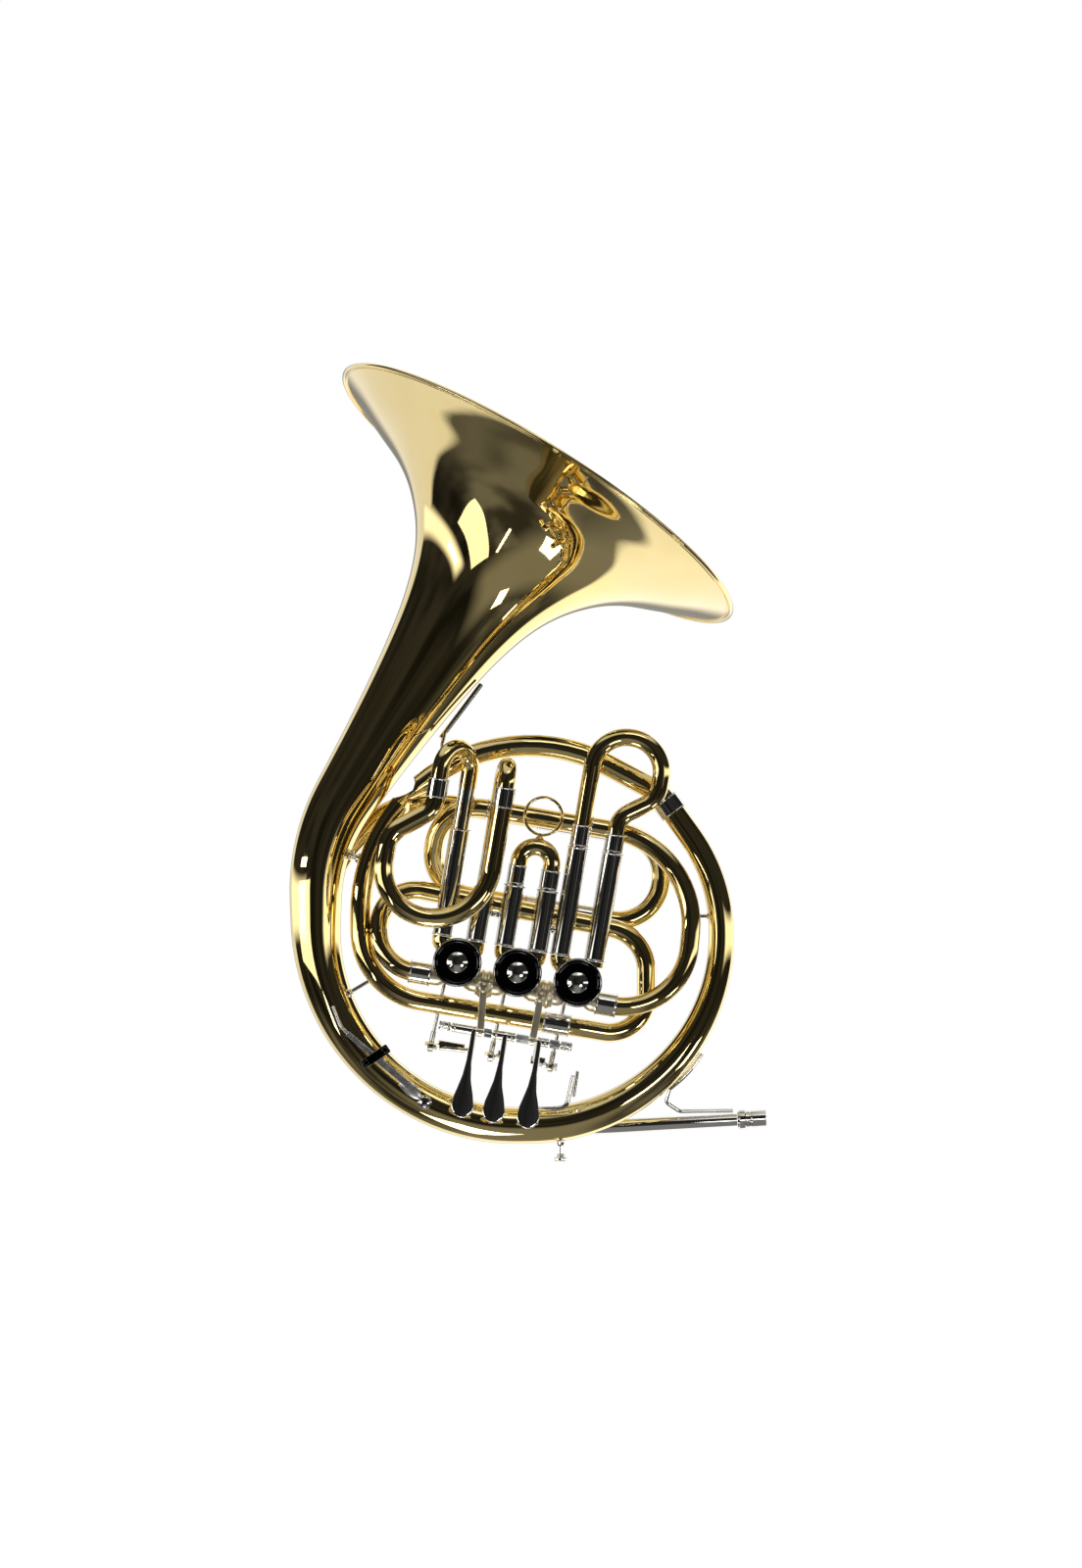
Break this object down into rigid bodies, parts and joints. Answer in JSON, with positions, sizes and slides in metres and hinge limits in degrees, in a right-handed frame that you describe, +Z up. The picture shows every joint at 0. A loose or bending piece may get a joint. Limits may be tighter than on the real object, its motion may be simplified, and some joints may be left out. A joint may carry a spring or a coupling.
{
  "type": "french horn",
  "caption": "Compact French horn in B flat with rotary valves, finger levers, pull-out slides and a wide flared bell on a round body loop.",
  "frame": {"origin": "where the left hand holds the body tube, under the finger levers, on the tube's centre line", "axes": "+Z up in playing pose, along the body loop from the grip to the bell; +X towards the mouthpiece receiver; +Y away from the lever side, the way the bell leans back"},
  "size_m": [0.3119, 0.296, 0.5219],
  "materials": {
    "lacquered_brass": "polished and lacquered",
    "nickel_silver": "polished nickel silver",
    "black_nickel": "polished black nickel",
    "spring_steel": "bright spring wire"
  },
  "bodies": {
    "horn_body": {"bell": "lacquered_brass", "bell_rim_wire": "lacquered_brass", "body_branch": "lacquered_brass", "ferrule_body_branch": "nickel_silver", "second_branch": "lacquered_brass", "ferrule_second_branch": "nickel_silver", "valve3_branch": "lacquered_brass", "ferrule_valve3": "nickel_silver", "valve1_branch": "lacquered_brass", "ferrule_valve1": "nickel_silver", "leadpipe": "nickel_silver", "mouthpiece_receiver": "nickel_silver", "lever_axle": "nickel_silver", "lever_bracket_left": "nickel_silver", "lever_bracket_right": "nickel_silver", "slide3_loop": "lacquered_brass", "pinky_hook": "nickel_silver", "thumb_rest": "nickel_silver", "thumb_rest_screw": "nickel_silver", "strap_stud": "nickel_silver", "brace_bell": "nickel_silver", "brace_leadpipe": "nickel_silver", "brace_bell_tail": "nickel_silver", "brace_lower_left": "nickel_silver", "valve_casing_1": "nickel_silver", "valve_casing_2": "nickel_silver", "valve_casing_3": "nickel_silver", "valve_cap_1": "black_nickel", "valve_cap_2": "black_nickel", "valve_cap_3": "black_nickel", "bearing_plate_1": "nickel_silver", "bearing_plate_2": "nickel_silver", "bearing_plate_3": "nickel_silver", "lever_spring_1": "spring_steel", "lever_spring_2": "spring_steel", "lever_spring_3": "spring_steel", "slide1_sleeve_left": "nickel_silver", "slide1_sleeve_right": "nickel_silver", "slide2_sleeve_left": "nickel_silver", "slide2_sleeve_right": "nickel_silver", "slide3_sleeve_front": "nickel_silver", "slide3_sleeve_rear": "nickel_silver"},
    "lever_1_body": {"lever_1": "nickel_silver"},
    "rotor_1_body": {"rotor_1": "lacquered_brass", "stop_arm_1": "nickel_silver"},
    "push_rod_1_body": {"push_rod_1": "nickel_silver"},
    "lever_2_body": {"lever_2": "nickel_silver"},
    "rotor_2_body": {"rotor_2": "lacquered_brass", "stop_arm_2": "nickel_silver"},
    "push_rod_2_body": {"push_rod_2": "nickel_silver"},
    "lever_3_body": {"lever_3": "nickel_silver"},
    "rotor_3_body": {"rotor_3": "lacquered_brass", "stop_arm_3": "nickel_silver"},
    "push_rod_3_body": {"push_rod_3": "nickel_silver"},
    "main_slide": {"main_tuning_slide": "lacquered_brass"},
    "slide_1": {"slide1_crook": "lacquered_brass"},
    "slide_2": {"slide2_crook": "lacquered_brass", "slide2_pull_ring": "lacquered_brass"},
    "slide_3_left": {"slide3_left_crook": "lacquered_brass"},
    "slide_3_right": {"slide3_right_crook": "lacquered_brass"}
  },
  "joints": [
    {"name": "lever_1_press", "type": "hinge", "parent": "horn_body", "child": "lever_1_body", "pos_m": [0.02893, -0.026, 0.05509], "axis": [0.986, 0, -0.1668], "range_deg": [0, 17.1], "stiffness_Nm_per_rad": 0.06, "springref_deg": -28.65},
    {"name": "rotor_1_turn", "type": "hinge", "parent": "horn_body", "child": "rotor_1_body", "pos_m": [0.05384, -0.02, 0.09378], "axis": [0, 1, 0], "range_deg": [0, 90.5]},
    {"name": "push_rod_1_swing", "type": "hinge", "parent": "lever_1_body", "child": "push_rod_1_body", "pos_m": [0.03637, 0.003, 0.03852], "axis": [0.986, 0, -0.1668], "range_deg": [-14, 0]},
    {"name": "lever_2_press", "type": "hinge", "parent": "horn_body", "child": "lever_2_body", "pos_m": [0.00665, -0.026, 0.05886], "axis": [0.986, 0, -0.1668], "range_deg": [0, 17.1], "stiffness_Nm_per_rad": 0.06, "springref_deg": -28.65},
    {"name": "rotor_2_turn", "type": "hinge", "parent": "horn_body", "child": "rotor_2_body", "pos_m": [0.01469, -0.02, 0.1004], "axis": [0, 1, 0], "range_deg": [0, 90.5]},
    {"name": "push_rod_2_swing", "type": "hinge", "parent": "lever_2_body", "child": "push_rod_2_body", "pos_m": [-0.00277, 0.003, 0.04514], "axis": [0.986, 0, -0.1668], "range_deg": [-14, 0]},
    {"name": "lever_3_press", "type": "hinge", "parent": "horn_body", "child": "lever_3_body", "pos_m": [-0.01366, -0.026, 0.0623], "axis": [0.986, 0, -0.1668], "range_deg": [0, 17.1], "stiffness_Nm_per_rad": 0.06, "springref_deg": -28.65},
    {"name": "rotor_3_turn", "type": "hinge", "parent": "horn_body", "child": "rotor_3_body", "pos_m": [-0.02445, -0.02, 0.10702], "axis": [0, 1, 0], "range_deg": [0, 90.5]},
    {"name": "push_rod_3_swing", "type": "hinge", "parent": "lever_3_body", "child": "push_rod_3_body", "pos_m": [-0.04191, 0.003, 0.05176], "axis": [0.986, 0, -0.1668], "range_deg": [-14, 0]},
    {"name": "main_tuning_slide_pull", "type": "slide", "parent": "horn_body", "child": "main_slide", "axis": [0.986, 0, -0.1668], "range_m": [0, 0.016]},
    {"name": "slide1_pull", "type": "slide", "parent": "horn_body", "child": "slide_1", "axis": [0.1668, 0, 0.986], "range_m": [0, 0.05]},
    {"name": "slide2_pull", "type": "slide", "parent": "horn_body", "child": "slide_2", "axis": [0.1668, 0, 0.986], "range_m": [0, 0.025]},
    {"name": "slide3_left_pull", "type": "slide", "parent": "horn_body", "child": "slide_3_left", "axis": [0.1668, 0, 0.986], "range_m": [0, 0.008]},
    {"name": "slide3_right_pull", "type": "slide", "parent": "horn_body", "child": "slide_3_right", "axis": [0.1668, 0, 0.986], "range_m": [0, 0.008]}
  ],
  "couplings": [
    {"joint": "rotor_1_turn", "follows": "lever_1_press", "ratio": 5.2632},
    {"joint": "push_rod_1_swing", "follows": "lever_1_press", "ratio": -0.7953},
    {"joint": "rotor_2_turn", "follows": "lever_2_press", "ratio": 5.2632},
    {"joint": "push_rod_2_swing", "follows": "lever_2_press", "ratio": -0.7953},
    {"joint": "rotor_3_turn", "follows": "lever_3_press", "ratio": 5.2632},
    {"joint": "push_rod_3_swing", "follows": "lever_3_press", "ratio": -0.7953}
  ]
}
